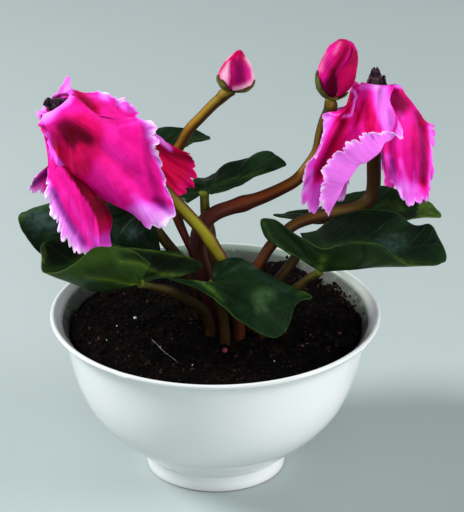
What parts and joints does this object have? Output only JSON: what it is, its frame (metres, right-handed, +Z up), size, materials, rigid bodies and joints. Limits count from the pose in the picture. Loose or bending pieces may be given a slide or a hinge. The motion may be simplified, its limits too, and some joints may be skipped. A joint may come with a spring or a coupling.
{
  "type": "potted cyclamen",
  "caption": "Potted cyclamen with fringed pink blooms, furled buds and heart-shaped leaves in a white porcelain bowl.",
  "frame": {"origin": "middle of the plant's and bowl's bounding box, on the plane the bowl's foot stands on", "axes": "+Z up out of the bowl, +Y away from the viewer of the picture, +X to that viewer's right"},
  "size_m": [0.1537, 0.12, 0.1605],
  "materials": {
    "porcelain": "gloss",
    "soil": "matte",
    "corm": "matte",
    "leaf_green": "satin",
    "leaf_light_green": "satin",
    "petiole_olive": "satin",
    "stalk_brown": "satin",
    "stalk_yellow": "satin",
    "petal_pink": "matte",
    "sepal_green": "satin",
    "withered": "matte"
  },
  "bodies": {
    "root": {"bowl": "porcelain", "soil": "soil", "corm": "corm", "leaf_front_left": "leaf_light_green", "petiole_front_left": "petiole_olive", "leaf_back_left": "leaf_green", "petiole_back_left": "petiole_olive", "leaf_front_middle": "leaf_green", "petiole_front_middle": "petiole_olive", "leaf_right": "leaf_green", "petiole_right": "petiole_olive", "leaf_top": "leaf_green", "petiole_top": "petiole_olive", "leaf_top_left": "leaf_green", "petiole_top_left": "petiole_olive", "leaf_back_right": "leaf_green", "petiole_back_right": "petiole_olive", "stalk_small_bud": "stalk_brown", "stalk_big_bud": "stalk_brown", "stalk_left_bloom": "stalk_yellow", "stalk_right_bloom": "stalk_brown", "corolla_left": "petal_pink", "calyx_left": "sepal_green", "withered_centre_left": "withered", "corolla_right": "petal_pink", "calyx_right": "sepal_green", "withered_centre_right": "withered", "bud_petals_small": "petal_pink", "bud_sepals_small": "sepal_green", "bud_petals_big": "petal_pink", "bud_sepals_big": "sepal_green"}
  },
  "joints": []
}
